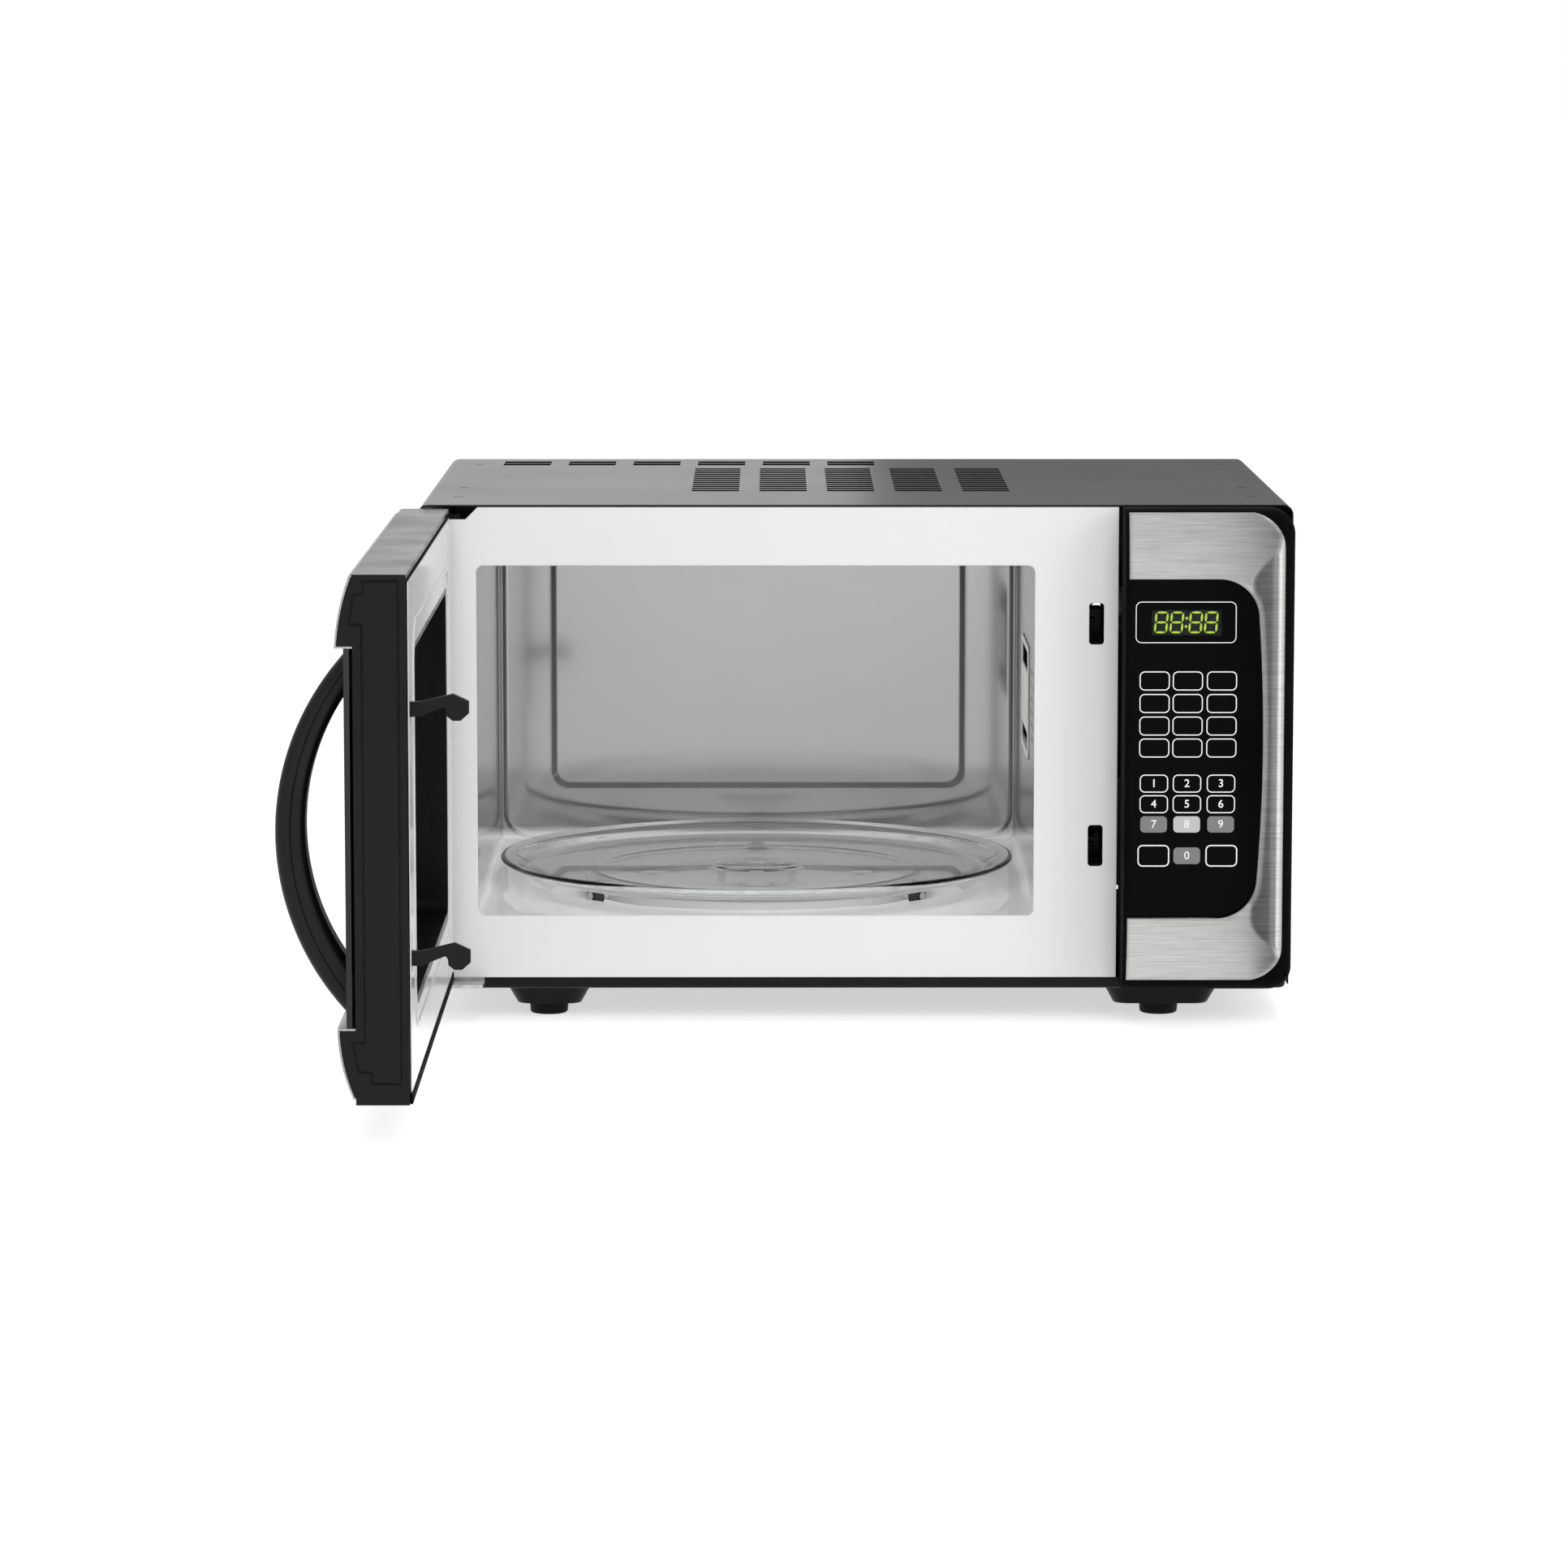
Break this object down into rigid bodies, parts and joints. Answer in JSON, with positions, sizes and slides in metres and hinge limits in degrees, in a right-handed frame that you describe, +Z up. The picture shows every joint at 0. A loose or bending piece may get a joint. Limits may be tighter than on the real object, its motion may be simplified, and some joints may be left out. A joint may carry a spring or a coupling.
{
  "type": "microwave oven",
  "caption": "Countertop microwave oven with its door open, glass turntable, keypad panel and brushed-steel trim.",
  "frame": {"origin": "on the counter, under the middle of the overall box with the door open", "axes": "+X to the right of someone facing the oven, +Y to the back of the oven, +Z up"},
  "size_m": [0.5644, 0.7782, 0.308],
  "materials": {
    "cabinet_paint": "satin black paint",
    "base_paint": "satin black paint",
    "front_enamel": "pale grey gloss enamel",
    "cavity_enamel": "grey gloss enamel",
    "brushed_trim": "long-grain brushed",
    "black_plastic": "fine satin",
    "gloss_black": "polished",
    "display_lens": "clear tinted",
    "display_glow": "lit digits on dark grey",
    "tinted_glass": "dark tint",
    "clear_glass": "clear pressed",
    "zinc_steel": "bright zinc",
    "spring_steel": "bright wire",
    "mica": "matt sheet",
    "white_plastic": "natural",
    "rubber": "matt",
    "circuit_board": "resist green",
    "core_steel": "varnished laminations",
    "winding": "enamelled wire",
    "aluminium": "bare",
    "screen_steel": "black perforated"
  },
  "bodies": {
    "cabinet": {"outer_cabinet": "cabinet_paint", "base_plate": "base_paint", "rear_panel": "zinc_steel", "front_plate": "front_enamel", "oven_cavity": "cavity_enamel", "waveguide_cover": "mica", "waveguide": "zinc_steel", "magnetron": "zinc_steel", "magnetron_cutout": "black_plastic", "cavity_cutout": "black_plastic", "transformer_core": "core_steel", "transformer_coils": "winding", "capacitor": "aluminium", "capacitor_strap": "zinc_steel", "diode": "black_plastic", "fan_shroud": "black_plastic", "fan_motor": "core_steel", "air_duct": "black_plastic", "lamp_holder": "zinc_steel", "oven_lamp": "clear_glass", "filter_board": "circuit_board", "cord_gland": "rubber", "cabinet_screws": "zinc_steel", "feet": "rubber", "upper_hinge": "base_paint", "lower_hinge": "zinc_steel", "latch_board": "black_plastic", "primary_switch": "black_plastic", "secondary_switch": "black_plastic", "monitor_switch": "black_plastic", "turntable_motor": "zinc_steel", "control_housing": "black_plastic", "control_trim": "brushed_trim", "keypad_overlay": "gloss_black", "display_window": "display_lens", "display_module": "display_glow", "control_board": "circuit_board"},
    "door": {"door_frame": "black_plastic", "door_trim": "brushed_trim", "door_window": "tinted_glass", "door_panel": "front_enamel", "door_screen": "screen_steel", "inner_film": "tinted_glass", "choke_cover": "black_plastic", "door_handle": "black_plastic", "handle_screws": "zinc_steel", "latch_spring": "spring_steel"},
    "latch": {"latch_bar": "black_plastic"},
    "fan": {"fan_blade": "white_plastic"},
    "coupler": {"drive_coupler": "white_plastic", "turntable_shaft": "white_plastic"},
    "ring": {"roller_ring": "white_plastic"},
    "wheel_rear": {"roller_rear": "black_plastic"},
    "wheel_left": {"roller_left": "black_plastic"},
    "wheel_right": {"roller_right": "black_plastic"},
    "tray": {"glass_tray": "clear_glass"},
    "primary_plunger": {"primary_button": "black_plastic"},
    "secondary_plunger": {"secondary_button": "black_plastic"},
    "leaf": {"monitor_leaf": "spring_steel"}
  },
  "joints": [
    {"name": "door_swing", "type": "hinge", "parent": "cabinet", "child": "door", "pos_m": [-0.22285, 0.015, 0.167], "axis": [0, 0, 1], "range_deg": [-10, 90]},
    {"name": "fan_spin", "type": "hinge", "parent": "cabinet", "child": "fan", "pos_m": [0.22075, 0.363, 0.177], "axis": [0, 1, 0], "continuous": true},
    {"name": "glass_tray_lift", "type": "slide", "parent": "coupler", "child": "tray", "axis": [0, 0, 1], "range_m": [0, 0.04]},
    {"name": "latch_lift", "type": "slide", "parent": "door", "child": "latch", "axis": [0, 0, 1], "range_m": [0, 0.005], "stiffness_N_per_m": 250, "springref_m": -0.004, "deforming": ["latch_spring"]},
    {"name": "monitor_leaf_press", "type": "hinge", "parent": "cabinet", "child": "leaf", "pos_m": [0.16625, 0.0634, 0.116], "axis": [1, 0, 0], "range_deg": [0, 10], "stiffness_Nm_per_rad": 0.02, "springref_deg": -5.73},
    {"name": "primary_button_press", "type": "slide", "parent": "cabinet", "child": "primary_plunger", "axis": [0, 1, 0], "range_m": [0, 0.0012], "stiffness_N_per_m": 400, "springref_m": -0.002},
    {"name": "secondary_button_press", "type": "slide", "parent": "cabinet", "child": "secondary_plunger", "axis": [0, 1, 0], "range_m": [0, 0.0012], "stiffness_N_per_m": 400, "springref_m": -0.002},
    {"name": "turntable_spin", "type": "hinge", "parent": "cabinet", "child": "coupler", "pos_m": [-0.03275, 0.195, 0.06], "axis": [0, 0, 1], "continuous": true},
    {"name": "roller_ring_spin", "type": "hinge", "parent": "cabinet", "child": "ring", "pos_m": [-0.03275, 0.195, 0.06], "axis": [0, 0, 1], "continuous": true},
    {"name": "wheel_rear_roll", "type": "hinge", "parent": "ring", "child": "wheel_rear", "pos_m": [-0.03275, 0.308, 0.0602], "axis": [0, 1, 0], "continuous": true},
    {"name": "wheel_left_roll", "type": "hinge", "parent": "ring", "child": "wheel_left", "pos_m": [-0.13061, 0.1385, 0.0602], "axis": [-0.866, -0.5, 0], "continuous": true},
    {"name": "wheel_right_roll", "type": "hinge", "parent": "ring", "child": "wheel_right", "pos_m": [0.06511, 0.1385, 0.0602], "axis": [0.866, -0.5, 0], "continuous": true}
  ],
  "couplings": [
    {"joint": "roller_ring_spin", "follows": "turntable_spin", "ratio": 0.5},
    {"joint": "wheel_rear_roll", "follows": "turntable_spin", "ratio": -8.9683},
    {"joint": "wheel_left_roll", "follows": "turntable_spin", "ratio": -8.9683},
    {"joint": "wheel_right_roll", "follows": "turntable_spin", "ratio": -8.9683}
  ]
}
